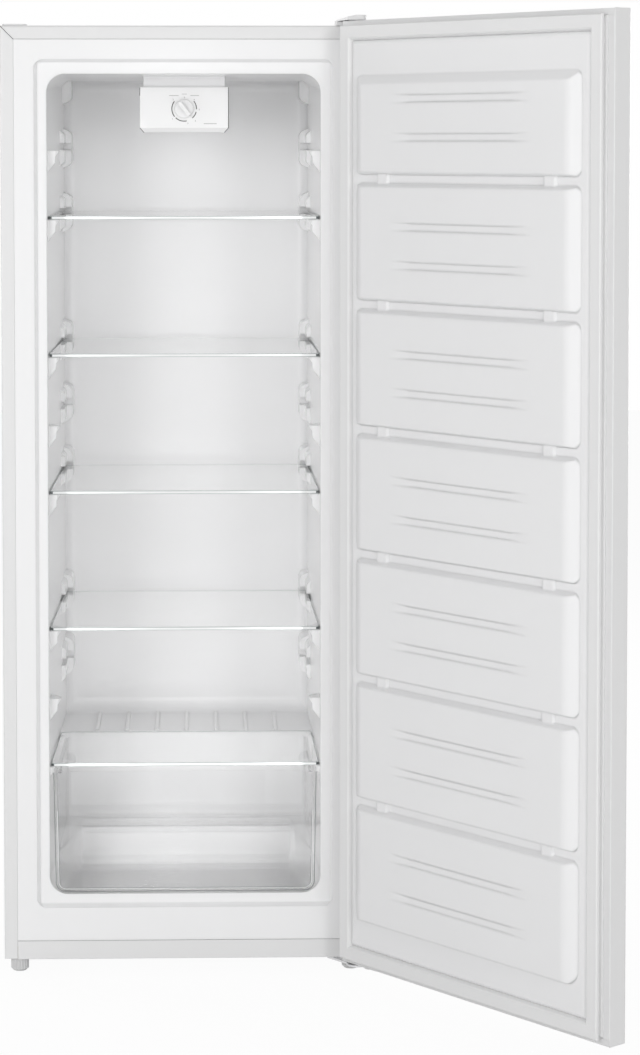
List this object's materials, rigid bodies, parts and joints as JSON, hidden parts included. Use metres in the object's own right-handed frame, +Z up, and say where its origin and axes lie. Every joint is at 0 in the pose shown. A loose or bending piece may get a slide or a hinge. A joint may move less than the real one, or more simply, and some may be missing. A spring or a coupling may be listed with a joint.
{
  "type": "upright refrigerator",
  "caption": "Tall single-door refrigerator with glass shelves, a stepped crisper drawer, a thermostat knob and a bare panelled door.",
  "frame": {"origin": "on the floor, under the middle of the box that holds the cabinet and the open door", "axes": "+Z up and the longest extent, front of the case towards -Y, +X to the right of someone facing the open refrigerator"},
  "size_m": [0.875, 0.9654, 1.44],
  "materials": {
    "painted_steel": "smooth white enamel on thin steel sheet",
    "liner_plastic": "vacuum formed white polystyrene with a soft shine",
    "moulded_white": "fine grained white injection moulding",
    "base_plastic": "cool white injection moulding",
    "gasket": "soft matt white vinyl",
    "bush_plastic": "plain light grey acetal",
    "foot_plastic": "ribbed light grey nylon",
    "glass": "clear float glass with polished edges",
    "clear_plastic": "clear polystyrene",
    "foam": "rigid closed cell foam",
    "galvanised": "zinc coated sheet and fasteners",
    "copper_tube": "drawn copper tube",
    "aluminium": "plain aluminium sheet and tube",
    "black_shell": "black painted hermetic shell",
    "black_rubber": "black rubber",
    "black_plastic": "black moulded plastic"
  },
  "bodies": {
    "cabinet": {"outer_case": "painted_steel", "front_rail": "painted_steel", "back_panel": "galvanised", "back_panel_screws": "galvanised", "base_pan": "galvanised", "compressor_tray": "galvanised", "compressor_bolts": "galvanised", "top_hinge_bracket": "galvanised", "top_hinge_pin": "galvanised", "top_hinge_screws": "galvanised", "bottom_hinge_bracket": "galvanised", "bottom_hinge_pin": "galvanised", "bottom_hinge_screws": "galvanised", "foam_insulation": "foam", "inner_liner": "liner_plastic", "condenser_coil": "copper_tube", "discharge_tube": "copper_tube", "suction_tube": "copper_tube", "filter_drier": "copper_tube", "evaporator_coil": "aluminium", "evaporator_plate": "aluminium", "compressor": "black_shell", "compressor_grommets": "black_rubber", "starter_cover": "black_plastic", "cord_inlet": "black_plastic", "rear_feet": "foot_plastic", "thermostat_housing": "moulded_white", "housing_base": "base_plastic", "thermostat_body": "black_plastic", "top_hinge_cover": "moulded_white", "hinge_blanking_cap": "moulded_white"},
    "glass_shelf_1": {"glass_shelf_1": "glass"},
    "glass_shelf_2": {"glass_shelf_2": "glass"},
    "glass_shelf_3": {"glass_shelf_3": "glass"},
    "glass_shelf_4": {"glass_shelf_4": "glass"},
    "crisper_cover": {"crisper_cover": "glass"},
    "crisper_drawer": {"crisper_drawer": "clear_plastic"},
    "knob": {"thermostat_knob": "moulded_white", "thermostat_shaft": "galvanised"},
    "foot_left": {"front_foot_left": "foot_plastic"},
    "foot_right": {"front_foot_right": "foot_plastic"},
    "door": {"door_skin": "painted_steel", "door_foam": "foam", "door_liner": "liner_plastic", "door_gasket": "gasket", "door_top_cap": "moulded_white", "door_bottom_cap": "moulded_white", "door_bush_top": "bush_plastic", "door_bush_bottom": "bush_plastic"}
  },
  "joints": [
    {"name": "door_hinge", "type": "hinge", "parent": "cabinet", "child": "door", "pos_m": [0.09198, -0.06077, 0.7], "axis": [0, 0, 1], "range_deg": [-129, 6]},
    {"name": "shelf_1_slide", "type": "slide", "parent": "cabinet", "child": "glass_shelf_1", "axis": [0, -1, 0], "range_m": [0, 0.32]},
    {"name": "shelf_2_slide", "type": "slide", "parent": "cabinet", "child": "glass_shelf_2", "axis": [0, -1, 0], "range_m": [0, 0.32]},
    {"name": "shelf_3_slide", "type": "slide", "parent": "cabinet", "child": "glass_shelf_3", "axis": [0, -1, 0], "range_m": [0, 0.32]},
    {"name": "shelf_4_slide", "type": "slide", "parent": "cabinet", "child": "glass_shelf_4", "axis": [0, -1, 0], "range_m": [0, 0.32]},
    {"name": "crisper_cover_slide", "type": "slide", "parent": "cabinet", "child": "crisper_cover", "axis": [0, -1, 0], "range_m": [0, 0.2]},
    {"name": "crisper_slide", "type": "slide", "parent": "cabinet", "child": "crisper_drawer", "axis": [0, -1, 0], "range_m": [0, 0.2]},
    {"name": "thermostat_turn", "type": "hinge", "parent": "cabinet", "child": "knob", "pos_m": [-0.16502, 0.08073, 1.304], "axis": [0, 1, 0], "range_deg": [-140, 140]},
    {"name": "foot_left_screw", "type": "slide", "parent": "cabinet", "child": "foot_left", "axis": [0, 0, -1], "range_m": [0, 0.012]},
    {"name": "foot_right_screw", "type": "slide", "parent": "cabinet", "child": "foot_right", "axis": [0, 0, -1], "range_m": [0, 0.012]}
  ]
}
